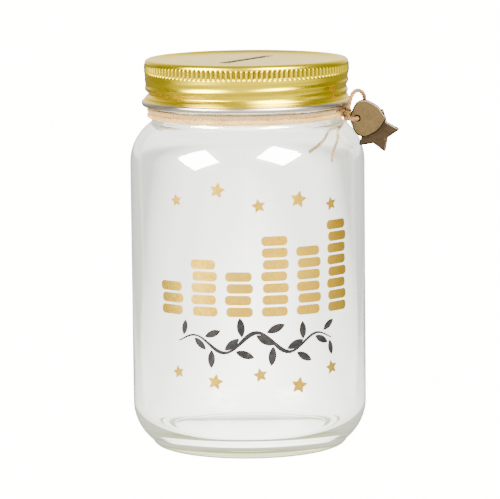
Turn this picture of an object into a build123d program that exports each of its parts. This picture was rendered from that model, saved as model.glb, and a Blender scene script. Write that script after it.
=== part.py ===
"""Coin bank jar: a glass screw-top jar, a slotted gold lid with its sealing ring, twine round the neck
with a knot, a loop and two tails, two metal charms on the loop, and a printed gold and black transfer.

Frame: millimetres, +Z up, origin on the jar's axis in the plane that it stands on.
The front of the jar, where the transfer is printed, faces -Y. The charms hang at the +X side.
"""

from build123d import *
import math
import os

# ---- jar glass ----
body_radius = 41.6
wall = 3.0
neck_radius = 33.5
mouth_radius = 30.2
glass_top = 135.9
shoulder_arc = 17.5
shoulder_z = 101.0
neck_fillet = 2.0
heel_arc = 17.0
heel_z = 15.5
inner_heel_arc = 10.0
floor_rise = 1.0
foot_radius = 32.6
foot_inner_radius = 30.0
foot_kink_radius = 35.0
foot_round = (34.0, 0.5)      # a point on the foot's rounded edge
push_up = 3.2
push_up_radius = 28.0
push_up_step = 1.6
lip_round = 1.2

# ---- screw thread, five turns to the inch ----
pitch = 25.4 / 5
glass_thread_crest = 34.85
glass_thread_z = 127.7        # centre of the glass thread at the left side, 180 degrees round
glass_thread_start = 60.0
glass_thread_turns = 1.2
lid_groove_z = 125.5          # centre of the lid's pressed groove at the same side
lid_groove_start = 150.0
lid_groove_turns = 1.1

# ---- lid, pressed from thin sheet ----
lid_top = 137.8
sheet = 0.3
lid_radius = 36.3
panel_drop = 0.65
panel_radius = 31.6
panel_slope = 1.2             # width of the sloping step from the panel up to the rim
fold_radius = 0.7
rim_corner = 1.6
skirt_radius = 36.1
knurl_bottom = 132.4
knurl_top = 136.1
knurl_ribs = 126
knurl_depth = 0.4
groove_bottom_radius = 34.6
curl_centre_radius = 36.2
curl_radius = 1.05
curl_z = 122.4
waist_radius = 35.35
waist_top, waist_bottom = 1.9, 0.95   # the waist's slope, above the curl's centre
waist_round = 0.5
slot_length = 34.0
slot_width = 3.0
slot_angle = 60.0
slot_lip = 0.6
slot_lip_height = 0.3

# ---- sealing ring ----
seal_inner_radius = 30.6
seal_outer_radius = 34.9
seal_gap = 0.03
seal_thickness = 0.9

# ---- twine ----
twine = 1.5
wrap_radius = neck_radius + twine / 2 + 0.4
wrap_low_z = 117.55
wrap_gap = 0.06
wrap_steps = 24
wrap_step_angle = 359 / wrap_steps
knot_radius = 1.7
knot_from, knot_to = -14.0, -8.0
wrap_start = knot_from - 12
knot_distance = 36.0
knot_z = 118.2
tail_knot_radius = 1.4

# ---- charms ----
charm_thickness = 1.2
hole_x, hole_z = 38.6, 117.1
hole_radius = 1.0
heart_y = -12.4
heart_left = -1.45
heart_lobe = 3.95
heart_half_width = 6.6
heart_belly = 5.85
heart_belly_x = 3.4
heart_tip = 10.3
heart_tip_round = 0.5
heart_notch = 0.2
star_y = -10.6
star_tip_radius = 8.4
star_waist_ratio = 0.56
star_reach = 8.3
star_angle = -33.0
eyelet_radius = 1.75
ring_radius, ring_wire = 1.2, 0.22

# ---- printed transfer ----
print_thickness = 0.1
foil_star_round = 0.25
coin_width, coin_height, coin_step = 9.2, 3.3, 4.1
coin_low_z = 51.6
upper_stars = [(-26.4, 91.4, 4.6), (-10.6, 95.5, 5.8), (3.7, 90.1, 5.2), (18.0, 91.8, 6.4), (31.7, 89.3, 5.2)]
lower_stars = [(-26.3, 31.3, 4.8), (-12.0, 28.7, 5.9), (3.8, 31.2, 5.2), (17.7, 26.9, 6.4), (31.5, 31.9, 5.4)]
vine_start, vine_end = -26.3, 31.8
vine_z, vine_swing, vine_waves = 42.4, 3.7, 2.5
vine_steps, vine_tip = 44, 0.005
vine_thin, vine_thick = 0.2, 0.62
vine_leaves = 16
leaf_length, leaf_gap = 7.0, 1.3
leaf_half_width = 0.2         # as a share of its length
leaf_turn = 52
coin_stacks = [(-28.8, 3), (-15.9, 5), (-3.4, 4), (9.3, 7), (21.9, 6), (34.6, 8)]


def around(angle, radius, z):
    """A point at an angle in degrees from +X, a distance from the axis and a height."""
    turn = math.radians(angle)
    return (radius * math.cos(turn), radius * math.sin(turn), z)


def revolved(outline):
    """The solid of a closed outline of (radius, height) turned about the axis."""
    return revolve(make_face(outline), Axis.Z)


def section(*points):
    """Points given as (radius, height), placed in the XZ plane."""
    return [(radius, 0, z) for radius, z in points]


def tangent_blend(arc_centre, arc_radius, line_radius, blend):
    """Centre and two tangent points of a small arc between an arc's outside and a vertical line beyond it."""
    centre_r = line_radius + blend
    reach = arc_radius + blend
    centre_z = arc_centre[1] + math.sqrt(reach**2 - (centre_r - arc_centre[0]) ** 2)
    share = arc_radius / reach
    on_arc = (arc_centre[0] + (centre_r - arc_centre[0]) * share, arc_centre[1] + (centre_z - arc_centre[1]) * share)
    return (centre_r, centre_z), on_arc, (line_radius, centre_z)


def arc_between(start, end, centre, radius):
    """The short arc from start to end about a centre, all as (radius, height)."""
    middle = ((start[0] + end[0]) / 2 - centre[0], (start[1] + end[1]) / 2 - centre[1])
    length = math.hypot(*middle)
    through = (centre[0] + middle[0] * radius / length, centre[1] + middle[1] * radius / length)
    return ThreePointArc(*section(start, through, end))


def dome(top, edge):
    """Half the outline of a shallow dome centred on the axis, from its top to its edge."""
    rise = top[1] - edge[1]
    radius = (edge[0] ** 2 + rise**2) / (2 * rise)
    return arc_between(top, edge, (0, top[1] - radius), radius)


def helical_bar(outline, start_angle, start_z, turns):
    """An outline of (radius, height from the thread's centre) swept along the screw thread's helix."""
    path = Helix(pitch, pitch * turns, outline[0][0])
    profile = Plane.XZ * make_face(Polyline(*outline, close=True))
    bar = sweep(profile, path, is_frenet=True)
    return Pos(0, 0, start_z) * (Rot(0, 0, start_angle) * bar)


def thread_height(z_at_180, angle):
    """The thread centre's height at an angle, from its height at 180 degrees."""
    return z_at_180 + pitch * (angle - 180) / 360


def glass_jar():
    """The jar: straight body, round shoulder, threaded finish, thick heel and a pushed-up base."""
    centre = (body_radius - shoulder_arc, shoulder_z)
    blend_centre, on_shoulder, on_neck = tangent_blend(centre, shoulder_arc, neck_radius, neck_fillet)
    heel_centre = (body_radius - heel_arc, heel_z)
    kink_z = heel_z - math.sqrt(heel_arc**2 - (foot_kink_radius - heel_centre[0]) ** 2)
    lip = (neck_radius, glass_top - lip_round)

    inner_arc = shoulder_arc - wall
    inner_blend, on_inner, on_mouth = tangent_blend(centre, inner_arc, mouth_radius, neck_fillet)
    inner_side = body_radius - wall
    inner_heel = (inner_side - inner_heel_arc, heel_z)
    floor_edge = (inner_heel[0], heel_z - inner_heel_arc)
    floor_middle = (0, floor_edge[1] + floor_rise)

    outline = Curve() + [
        dome((0, push_up), (push_up_radius, push_up_step)),
        Line(*section((push_up_radius, push_up_step), (foot_inner_radius, 0))),
        Line(*section((foot_inner_radius, 0), (foot_radius, 0))),
        ThreePointArc(*section((foot_radius, 0), foot_round, (foot_kink_radius, kink_z))),
        arc_between((foot_kink_radius, kink_z), (body_radius, heel_z), heel_centre, heel_arc),
        Line(*section((body_radius, heel_z), (body_radius, shoulder_z))),
        arc_between((body_radius, shoulder_z), on_shoulder, centre, shoulder_arc),
        arc_between(on_shoulder, on_neck, blend_centre, neck_fillet),
        Line(*section(on_neck, lip)),
        arc_between(lip, (neck_radius - lip_round, glass_top), (neck_radius - lip_round, lip[1]), lip_round),
        Line(*section((neck_radius - lip_round, glass_top), (mouth_radius + lip_round, glass_top))),
        arc_between((mouth_radius + lip_round, glass_top), (mouth_radius, lip[1]),
                    (mouth_radius + lip_round, lip[1]), lip_round),
        Line(*section((mouth_radius, lip[1]), on_mouth)),
        arc_between(on_mouth, on_inner, inner_blend, neck_fillet),
        arc_between(on_inner, (inner_side, shoulder_z), centre, inner_arc),
        Line(*section((inner_side, shoulder_z), (inner_side, heel_z))),
        arc_between((inner_side, heel_z), floor_edge, inner_heel, inner_heel_arc),
        dome(floor_middle, floor_edge),
        Line(*section(floor_middle, (0, push_up))),
    ]
    ridge = [(neck_radius - 0.3, -1.35), (glass_thread_crest - 0.4, -0.7), (glass_thread_crest, -0.3),
             (glass_thread_crest, 0.3), (glass_thread_crest - 0.4, 0.7), (neck_radius - 0.3, 1.35)]
    ridge_z = thread_height(glass_thread_z, glass_thread_start)
    return revolved(outline) + helical_bar(ridge, glass_thread_start, ridge_z, glass_thread_turns)


def lid_shell():
    """The one-piece lid: recessed panel with the coin slot, knurled band, threaded skirt and rolled curl."""
    half = sheet / 2
    panel_z = lid_top - panel_drop - half
    rim_z = lid_top - half
    side = skirt_radius - half
    middle_line = FilletPolyline(
        *section((0, panel_z), (panel_radius, panel_z), (panel_radius + panel_slope, rim_z), (side, rim_z),
                 (side, curl_z + waist_top), (waist_radius - half, curl_z + waist_bottom),
                 (waist_radius - half, curl_z)),
        radius=[fold_radius, fold_radius, rim_corner - half, waist_round, waist_round])
    shell = revolve(Plane.XZ * offset_band(middle_line, half), Axis.Z)
    ring = Pos(0, 0, curl_z) * (Torus(curl_centre_radius, curl_radius) - Torus(curl_centre_radius, curl_radius - sheet))

    knurl_points = []
    for rib in range(knurl_ribs):
        for share, radius in ((0, lid_radius - knurl_depth), (0.3, lid_radius), (0.7, lid_radius)):
            knurl_points.append(around((rib + share) * 360 / knurl_ribs, radius, 0)[:2])
    knurl = extrude(make_face(Polyline(*knurl_points, close=True)) - Circle(side), knurl_top - knurl_bottom)
    lid = shell + ring + Pos(0, 0, knurl_bottom) * knurl

    bead = [(side - 0.05, -1.7), (groove_bottom_radius - sheet, -0.65),
            (groove_bottom_radius - sheet, 0.65), (side - 0.05, 1.7)]
    groove = [(lid_radius + 0.5, -1.75), (groove_bottom_radius, -0.45),
              (groove_bottom_radius, 0.45), (lid_radius + 0.5, 1.75)]
    groove_z = thread_height(lid_groove_z, lid_groove_start)
    inset = 1.0
    lid = lid + helical_bar(bead, lid_groove_start, groove_z, lid_groove_turns)
    lid = lid - helical_bar(groove, lid_groove_start + inset, groove_z + pitch * inset / 360,
                            lid_groove_turns - 2 * inset / 360)

    slot_plane = Plane((0, 0, panel_z - 2)).rotated((0, 0, slot_angle))
    lip = extrude(slot_plane * SlotOverall(slot_length + 2 * slot_lip, slot_width + 2 * slot_lip),
                  2 + half + slot_lip_height)
    lip = lip & Pos(0, 0, panel_z - half + 5) * Box(60, 60, 10)
    opening = extrude(slot_plane * SlotOverall(slot_length, slot_width), 6)
    return lid + lip - opening


def offset_band(line, half):
    """A closed flat outline a given distance each side of an open line in the XZ plane."""
    flat = Plane.XZ.to_local_coords(line)
    return trace(flat, line_width=2 * half)


def sealing_ring():
    """The soft ring that seals on the jar's lip, held in the lid's channel."""
    ring = Circle(seal_outer_radius) - Circle(seal_inner_radius)
    return Pos(0, 0, glass_top + seal_gap) * extrude(ring, seal_thickness)


def cord_tube(name, points, diameter=twine):
    """A round cord along straight runs joined by tangent arcs, each as large as its two runs allow."""
    corners = [Vector(*point) for point in points]
    radii = []
    for before, corner, after in zip(corners, corners[1:], corners[2:]):
        shorter = min((corner - before).length, (after - corner).length)
        half_turn = math.radians((corner - before).get_angle(after - corner)) / 2
        radii.append(0.45 * shorter / math.tan(half_turn))
    path = FilletPolyline(*corners, radius=radii)
    tube = sweep(Plane(path @ 0, z_dir=path % 0) * Circle(diameter / 2), path)
    expected = math.pi * diameter**2 / 4 * path.length
    print(name, "length", round(path.length, 1), "smallest radius", round(min(radii), 2),
          "volume over expected", round(tube.volume / expected, 4))
    return tube


def wrap_points():
    """Two turns round the neck side by side, crossing over from the lower to the upper at the knot."""
    points = []
    for step in range(2 * wrap_steps + 1):
        lift = min(max((step - wrap_steps + 0.5) / 2, 0), 1)
        angle = wrap_start + step * wrap_step_angle
        points.append(around(angle, wrap_radius, wrap_low_z + lift * (twine + wrap_gap)))
    return points


def twine_knot():
    """The tied knot, a rounded lump lying along the two turns."""
    ends = [Vector(*around(angle, knot_distance, knot_z)) for angle in (knot_from, knot_to)]
    along = ends[1] - ends[0]
    barrel = extrude(Plane(ends[0], z_dir=along) * Circle(knot_radius), along.length)
    return barrel + Pos(*ends[0]) * Sphere(knot_radius) + Pos(*ends[1]) * Sphere(knot_radius)


loop_points = [
    (34.8, -9.4, 119.1), (34.7, -12.2, 118.8), (35.2, -14.8, 120.0), (35.9, -15.0, 122.6),
    (36.5, -14.8, 125.2), (37.9, -14.1, 127.0), (39.7, -12.5, 126.9), (41.1, -10.4, 125.4),
    (41.5, -8.4, 123.1), (41.3, -7.2, 120.8), (41.0, -6.5, 119.2), (40.3, -6.4, 117.9),
    (39.3, -7.1, 117.2), (38.7, -8.4, 117.05), (38.58, -10.1, 117.12), (38.65, -12.0, 117.05),
    (38.6, -14.2, 117.1), (37.6, -15.6, 117.15), (36.0, -15.6, 117.2), (34.9, -13.9, 117.3),
    (34.6, -11.8, 117.35), (34.8, -9.6, 117.4),
]

long_tail_points = [around(*place) for place in [
    (-8, 36.2, 119.1), (2, 36.3, 119.3), (11, 36.35, 119.1), (20, 36.4, 118.2), (28, 36.6, 116.2),
    (35, 38.0, 113.2), (42.5, 40.9, 109.2), (50, 42.4, 105.2), (56, 43.2, 102.4)]]

short_tail_points = [around(*place) for place in [
    (-8, 36.2, 117.3), (2, 36.3, 117.2), (10, 36.35, 116.6), (17, 36.6, 115.1), (23, 38.4, 112.5),
    (29, 40.7, 109.4), (35, 42.2, 105.6), (38, 42.7, 101.9), (38.3, 42.75, 98.6)]]


def flat_charm(outline, y):
    """A flat metal charm cut from plate, facing the front, with a hole for the twine."""
    plate = extrude(Plane.XZ * outline, charm_thickness)
    plate = Pos(hole_x, y + charm_thickness / 2, hole_z) * plate
    hole = Pos(hole_x, y, hole_z) * Rot(90, 0, 0) * Cylinder(hole_radius, 4 * charm_thickness)
    return plate - hole


def heart_outline():
    """A broad heart lying on its side, its notch at the hole and its tip away from the jar."""
    side = heart_half_width - heart_lobe
    lobes = [Pos(heart_lobe + heart_left, sign * side) * Circle(heart_lobe) for sign in (-1, 1)]
    belly = Pos(heart_belly_x, 0) * Circle(heart_belly)
    tip = Pos(heart_tip - heart_tip_round, 0) * Circle(heart_tip_round)
    outline = make_hull([edge for round_part in [*lobes, belly, tip] for edge in round_part.edges()])
    return outline - Pos(heart_left, 0) * Circle(heart_notch)


def star_outline():
    """A fat five-pointed star with rounded tips; the tip at the hole ends in an eyelet."""
    points = []
    for step in range(10):
        radius = star_tip_radius * (1 if step % 2 == 0 else star_waist_ratio)
        angle = math.radians(180 + 36 * step)
        points.append((radius * math.cos(angle), radius * math.sin(angle)))
    face = make_face(Polyline(*points, close=True))
    tips = [vertex for vertex in face.vertices() if Vector(vertex.X, vertex.Y).length > 0.9 * star_tip_radius]
    face = fillet(tips[:], 0.7)
    face = Pos(star_reach, 0) * face
    return Rot(0, 0, star_angle) * (face + Circle(eyelet_radius))


def jump_ring():
    """A small wire ring round the loop's front leg."""
    foot, head = Vector(*loop_points[2]), Vector(*loop_points[3])
    return Plane(foot * 0.8 + head * 0.2, z_dir=head - foot) * Torus(ring_radius, ring_wire)


def print_shell():
    """The thin space just outside the jar's straight side that the printed transfer fills."""
    height = shoulder_z - heel_z
    band = Circle(body_radius + print_thickness) - Circle(body_radius)
    return Pos(0, 0, heel_z) * extrude(band, height)


def printed(outline, across, z):
    """An outline printed on the front, a distance round the jar from its middle and at a height."""
    angle = math.degrees(across / body_radius) - 90
    place = Plane(around(angle, body_radius - 1.5, z), x_dir=(-math.sin(math.radians(angle)),
                  math.cos(math.radians(angle)), 0), z_dir=around(angle, 1, 0))
    return extrude(place * outline, 3) & print_shell()


def printed_star(width):
    """A small five-pointed star with softened tips."""
    outer = width / 1.9
    points = []
    for step in range(10):
        radius = outer * (1 if step % 2 == 0 else 0.48)
        angle = math.radians(90 + 36 * step)
        points.append((radius * math.cos(angle), radius * math.sin(angle)))
    face = make_face(Polyline(*points, close=True))
    return fillet(face.vertices(), foil_star_round * width / 6)


def star_row(row):
    return [printed(Rot(0, 0, 11 * (-1) ** index) * printed_star(width), across, z)
            for index, (across, z, width) in enumerate(row)]


def coin_piles():
    """Piles of coins seen from the side, each coin a bar with round ends, a little out of line."""
    pieces = []
    for pile, (across, count) in enumerate(coin_stacks):
        for coin in range(count):
            shift = 0.35 * math.sin(2.4 * coin + 1.3 * pile)
            bar = RectangleRounded(coin_width, coin_height, coin_height * 0.42)
            pieces.append(printed(bar, across + shift, coin_low_z + coin_height / 2 + coin * coin_step))
    return pieces


def vine_height(share):
    """The vine's height at a share of its length: a wave that grows and dies away."""
    return vine_z + vine_swing * math.sin(2 * math.pi * vine_waves * share) * math.sin(math.pi * share) ** 0.35


def vine_slope(share):
    """The vine's direction at a share of its length, in degrees."""
    step = 0.01
    rise = vine_height(share + step / 2) - vine_height(share - step / 2)
    return math.degrees(math.atan2(rise, (vine_end - vine_start) * step))


def vine_stem():
    """The vine's stem, a brush line that swells and tapers, as an outline to be pressed onto the jar."""
    upper, lower = [], []
    for step in range(vine_steps + 1):
        share = vine_tip + (1 - 2 * vine_tip) * step / vine_steps
        across = vine_start + (vine_end - vine_start) * share
        swell = 0.75 + 0.25 * math.sin(4 * math.pi * vine_waves * share)
        half = vine_thin + vine_thick * math.sin(math.pi * share) * swell
        slope = math.radians(vine_slope(share))
        for line, side in ((upper, half), (lower, -half)):
            angle = (across - side * math.sin(slope)) / body_radius
            line.append((body_radius * math.sin(angle), vine_height(share) + side * math.cos(slope)))
    outline = make_face(Polyline(*upper, *reversed(lower), close=True))
    front = Plane.XZ.offset(body_radius / 2)
    return extrude(front * outline, body_radius) & print_shell()


def vine_leaf(length):
    """A pointed leaf with its root at the origin, lying along X."""
    half = length * leaf_half_width
    edges = [ThreePointArc((0, 0), (length / 2, side * half), (length, 0)) for side in (1, -1)]
    return make_face([edge.edge() for edge in edges])


def ink_vine():
    """The printed black line: a vine stem with leaves on both sides."""
    pieces = [vine_stem()]
    for leaf in range(vine_leaves):
        share = (leaf + 0.6) / vine_leaves
        side = 1 if leaf % 2 == 0 else -1
        length = leaf_length * (0.75 + 0.25 * math.sin(math.pi * share))
        turn = vine_slope(share) + side * leaf_turn
        across = vine_start + (vine_end - vine_start) * share + leaf_gap * math.cos(math.radians(turn))
        root = vine_height(share) + leaf_gap * math.sin(math.radians(turn))
        pieces.append(printed(Rot(0, 0, turn) * vine_leaf(length), across, root))
    return pieces


def write(name, shape):
    export_step(shape if not isinstance(shape, list) else Compound(children=shape), f"parts/{name}.step")


def main():
    os.makedirs("parts", exist_ok=True)
    write("glass_jar", glass_jar())
    write("lid_shell", lid_shell())
    write("sealing_ring", sealing_ring())
    write("neck_twine", cord_tube("neck_twine", wrap_points()))
    write("twine_knot", twine_knot())
    write("charm_loop", cord_tube("charm_loop", loop_points))
    write("long_tail", cord_tube("long_tail", long_tail_points))
    write("short_tail", cord_tube("short_tail", short_tail_points))
    write("tail_knot", Pos(*long_tail_points[-1]) * Sphere(tail_knot_radius))
    write("jump_ring", jump_ring())
    write("heart_charm", flat_charm(heart_outline(), heart_y))
    write("star_charm", flat_charm(star_outline(), star_y))
    write("upper_foil_stars", star_row(upper_stars))
    write("lower_foil_stars", star_row(lower_stars))
    write("foil_coin_piles", coin_piles())
    write("ink_vine", ink_vine())


main()
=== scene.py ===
import math
import random

import bpy
import numpy as np
from mathutils import Matrix, Vector, noise


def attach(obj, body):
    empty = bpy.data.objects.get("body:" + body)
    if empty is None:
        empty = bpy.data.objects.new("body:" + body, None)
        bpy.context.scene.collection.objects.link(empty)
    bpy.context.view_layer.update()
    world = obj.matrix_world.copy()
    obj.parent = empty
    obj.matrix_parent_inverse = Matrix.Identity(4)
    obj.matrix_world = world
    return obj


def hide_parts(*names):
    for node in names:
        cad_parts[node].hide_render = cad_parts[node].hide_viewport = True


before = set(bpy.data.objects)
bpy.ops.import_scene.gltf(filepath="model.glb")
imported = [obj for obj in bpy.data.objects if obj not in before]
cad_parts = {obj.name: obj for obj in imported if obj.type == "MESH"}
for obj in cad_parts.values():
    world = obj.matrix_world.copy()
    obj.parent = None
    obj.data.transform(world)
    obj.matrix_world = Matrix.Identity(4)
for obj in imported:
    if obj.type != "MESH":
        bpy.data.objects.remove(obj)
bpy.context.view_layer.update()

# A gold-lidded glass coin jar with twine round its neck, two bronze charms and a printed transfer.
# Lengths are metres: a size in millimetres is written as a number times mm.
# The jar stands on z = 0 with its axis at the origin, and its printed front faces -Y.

mm = 0.001
degree = math.pi / 180

# ---- jar glass ----
body_radius = 41.6 * mm
wall = 3.0 * mm
neck_radius = 33.5 * mm
mouth_radius = 30.2 * mm
glass_top = 135.9 * mm
shoulder_arc = 17.5 * mm
shoulder_z = 101.0 * mm
neck_fillet = 2.0 * mm
heel_arc = 17.0 * mm
heel_z = 15.5 * mm
inner_heel_arc = 10.0 * mm
base_edge_radius = 35.0 * mm
lip_round = 1.2 * mm
under_middle_z, floor_middle_z = 3.2 * mm, 6.5 * mm
glass_segments = 320

# The base from its middle outward, and the jar's floor inward, as (radius, height) in millimetres
under_base = (
    (4, 3.17), (9, 3.04), (14, 2.8), (19, 2.46), (24, 2.03), (27.4, 1.66), (28.1, 1.5), (29.6, 0.3),
    (30.1, 0.06), (30.6, 0), (31.4, 0), (32.4, 0.02), (33.1, 0.1), (33.7, 0.32), (34.2, 0.72), (34.65, 1.3),
)
jar_floor = ((26, 5.7), (23, 5.87), (19, 6.06), (14, 6.27), (9, 6.42), (4, 6.49))

# The waves of the inner wall: size in millimetres, waves in a lap, where they start in degrees, and climb
wall_waves = ((0.10, 2, 40, 31), (0.05, 5, -70, -55), (0.03, 9, 0, 90))
waves_from, waves_fade_in = 14 * mm, 20 * mm
waves_to, waves_fade_out = 112 * mm, 12 * mm

# ---- screw thread ----
pitch = 25.4 * mm / 5
thread_reach = 1.35 * mm
thread_z = 127.7 * mm
thread_from, thread_turns = 60.0, 1.2
thread_half_width, thread_flank = 1.35 * mm, 0.95 * mm
threaded_above = 119 * mm
thread_fade = 22.0

# The groove that the thread leaves in the lid's skirt, and a fainter dip above it
groove_depth = 0.75 * mm
groove_z = 125.5 * mm
groove_from, groove_turns = 150.0, 1.1
groove_half_width, groove_flank = 2.0 * mm, 1.9 * mm
groove_low_z, groove_fade = 124.4 * mm, 1.2 * mm
dip_z, dip_depth = 128.7 * mm, 0.24 * mm
dip_half_width, dip_flank = 1.5 * mm, 1.45 * mm

# ---- lid ----
lid_top = 137.8 * mm
sheet = 0.3 * mm
skirt_radius = 36.1 * mm
panel_radius = 31.6 * mm
panel_drop = 0.65 * mm
rim_corner = 1.6 * mm
knurl_bottom, knurl_top = 132.4 * mm, 136.1 * mm
knurl_ribs = 126
knurl_rise, knurl_cut = 0.2 * mm, 0.7 * mm      # ribs above the skirt, and valleys below the ribs
knurl_edge = 0.45 * mm
valley_power = 1.2
points_per_rib = 8
curl_centre, curl_radius, curl_z = 36.0 * mm, 1.25 * mm, 122.4 * mm
waist_radius = 35.5 * mm
waist_from_z = 127.0 * mm
waist_z, flare_z, flare_radius = 125.3 * mm, 123.5 * mm, 36.25 * mm
slot_length, slot_width, slot_angle = 34.0 * mm, 3.0 * mm, 60.0
slot_edge_round = 0.5 * mm
slot_edge_rows = 5
slot_margin = 1.2 * mm
panel_sag = 0.10 * mm
side_low_z, side_step = 123.7 * mm, 0.2 * mm

# ---- twine ----
twine = 1.5 * mm
ply_offset = 0.34 * mm
ply_radius = 0.40 * mm
ply_lay = 4.4 * mm
ply_step = 0.22 * mm
ply_sides = 10
ply_unevenness = 0.14
ply_ridge, ply_ridge_turn = 0.10, 0.55
hair_root = 0.42 * twine
hair_thickness = 0.028 * mm
hair_taper = (1, 1, 0.9, 0.8, 0.6, 0.3)
wrap_radius = 34.65 * mm
wrap_fullness = 1.3           # the turns round the neck are fuller than the free lengths
wrap_low_z = 118.0 * mm
wrap_spacing = 1.85 * mm
# Height above which the neck wraps get the painted shadow of the lid's curl
wrap_shade_z = 118.95 * mm
wrap_steps = 24
wrap_step_angle = 359 / wrap_steps
knot_from, knot_to = -14.0, -8.0
wrap_start = knot_from - 12
knot_distance, knot_z = 36.0 * mm, 118.2 * mm
knot_crossing, knot_unevenness = 0.16, 0.12
knot_core = 0.8

# ---- charms ----
charm_thickness = 1.2 * mm
charm_bevel = 0.56 * mm
hole_x, hole_z = 38.6 * mm, 117.1 * mm
hole_radius = 0.85 * mm
hole_sides = 32
heart_y = -12.4 * mm
star_y = -10.6 * mm

# ---- stage ----
softboxes = {"left": (-0.72, -0.575, 0.378), "right": (0.477, -0.681, 0.548)}
box_size, box_distance = 0.72, 1.25
box_target = (0, 0, 0.08)
box_radiance, shine_radiance = 11.0, 260.0
shine_behind = 0.03
front_light, back_light, side_light = 1.5, 1.75, 0.17
box_glow, overhead_light = 12.0, 0.35
around_light = 3.6
around_side_share = 0.45
# The glass's painted glow: its strength, and the mirrorings after which the glass glows instead of
# mirroring on
trapped_light, trapped_after = 1.5, 2.5
paper_light = 17.0
far_glow, near_glow = 3.9, 2.9
far_side_share = 0.42
floor_reach = 12.0
camera_place = (0.0006, -1.2, 0.2372)
camera_drop, camera_roll = 7.965, -0.59
lens_length = 245.0


def smooth_step(value):
    """0 below 0, 1 above 1 and a smooth rise between."""
    value = np.clip(value, 0.0, 1.0)
    return value * value * (3 - 2 * value)


def around(angle, radius, z):
    """A point at an angle in degrees from +X, a distance from the axis and a height."""
    return Vector((radius * math.cos(angle * degree), radius * math.sin(angle * degree), z))


# ---------------------------------------------------------------- materials

def new_material(name, **sockets):
    """A material with a Principled shader whose sockets are set by name, with _ for a space."""
    material = bpy.data.materials.new(name)
    material.use_nodes = True
    shader = material.node_tree.nodes["Principled BSDF"]
    for socket, value in sockets.items():
        shader.inputs[socket.replace("_", " ")].default_value = value
    return material, shader


def add_node(material, kind, inputs=None, **settings):
    """A new node with its settings and the values or links of its inputs."""
    tree = material.node_tree
    node = tree.nodes.new(kind)
    for setting, value in settings.items():
        setattr(node, setting, value)
    for key, value in (inputs or {}).items():
        if isinstance(value, bpy.types.NodeSocket):
            tree.links.new(value, node.inputs[key])
        else:
            node.inputs[key].default_value = value
    return node


def object_place(material):
    """Where a point is in the object's own axes, in metres."""
    return add_node(material, "ShaderNodeTexCoord").outputs["Object"]


def place_along(material, axis):
    """How far along X, Y or Z a point is, in metres."""
    return add_node(material, "ShaderNodeSeparateXYZ", {"Vector": object_place(material)}).outputs[axis]


def noise_pattern(material, scale, detail=3.0, stretch=(1, 1, 1), roughness=0.55):
    """Noise over the surface, with its scale in features per metre."""
    place = add_node(material, "ShaderNodeMapping", {"Vector": object_place(material), "Scale": stretch})
    pattern = add_node(material, "ShaderNodeTexNoise", {
        "Vector": place.outputs["Vector"], "Scale": scale, "Detail": detail, "Roughness": roughness})
    return pattern.outputs["Fac"]


def spread(material, value, low, high, to_low=0.0, to_high=1.0):
    """The value's range low to high stretched over another range, and held at its ends."""
    node = add_node(material, "ShaderNodeMapRange", {
        "Value": value, "From Min": low, "From Max": high, "To Min": to_low, "To Max": to_high})
    return node.outputs["Result"]


def mixed(material, share, first, second):
    """A colour between two colours."""
    node = add_node(material, "ShaderNodeMix", data_type="RGBA")
    first_colour, second_colour = node.inputs[6], node.inputs[7]
    for socket, value in ((node.inputs["Factor"], share), (first_colour, first), (second_colour, second)):
        if isinstance(value, bpy.types.NodeSocket):
            material.node_tree.links.new(value, socket)
        else:
            socket.default_value = value
    return node.outputs[2]


def blend(material, share, first, second):
    """A number between two numbers."""
    return add_node(material, "ShaderNodeMix", {"Factor": share, "A": first, "B": second}).outputs["Result"]


def maths(material, operation, *values):
    """The result of an operation on one or two numbers."""
    return add_node(material, "ShaderNodeMath", dict(enumerate(values)), operation=operation).outputs[0]


def product(material, first, second):
    """Two numbers multiplied."""
    return maths(material, "MULTIPLY", first, second)


def bump(material, shader, height, strength, distance):
    """Small unevenness of the surface, as deep as a distance in metres."""
    node = add_node(material, "ShaderNodeBump", {
        "Height": height, "Strength": strength, "Distance": distance})
    material.node_tree.links.new(node.outputs["Normal"], shader.inputs["Normal"])


def link(material, value, node, socket):
    """Feed a value into one of a node's inputs."""
    material.node_tree.links.new(value, node.inputs[socket])


def glass_material():
    """Clear soda glass, faintly tinted in its depth, that from the third mirroring on glows with a set
    brightness as painted light.
    """
    material, shader = new_material(
        "clear_glass", Base_Color=(0.985, 0.99, 0.98, 1), Roughness=0.0, IOR=1.5,
        Transmission_Weight=1.0)
    depth = add_node(material, "ShaderNodeVolumeAbsorption", {
        "Color": (0.74, 0.77, 0.42, 1), "Density": 22.0})
    output = material.node_tree.nodes["Material Output"]
    link(material, depth.outputs["Volume"], output, "Volume")
    bounces = add_node(material, "ShaderNodeLightPath").outputs["Glossy Depth"]
    # Painted light: a glow in place of what the glass would mirror after that many mirrorings
    painted_glow = add_node(material, "ShaderNodeEmission", {
        "Color": (0.95, 0.95, 0.88, 1), "Strength": trapped_light})
    deep = maths(material, "GREATER_THAN", bounces, trapped_after)
    mix = add_node(material, "ShaderNodeMixShader", {
        "Fac": deep, 1: shader.outputs["BSDF"], 2: painted_glow.outputs["Emission"]})
    link(material, mix.outputs["Shader"], output, "Surface")
    return material


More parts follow.
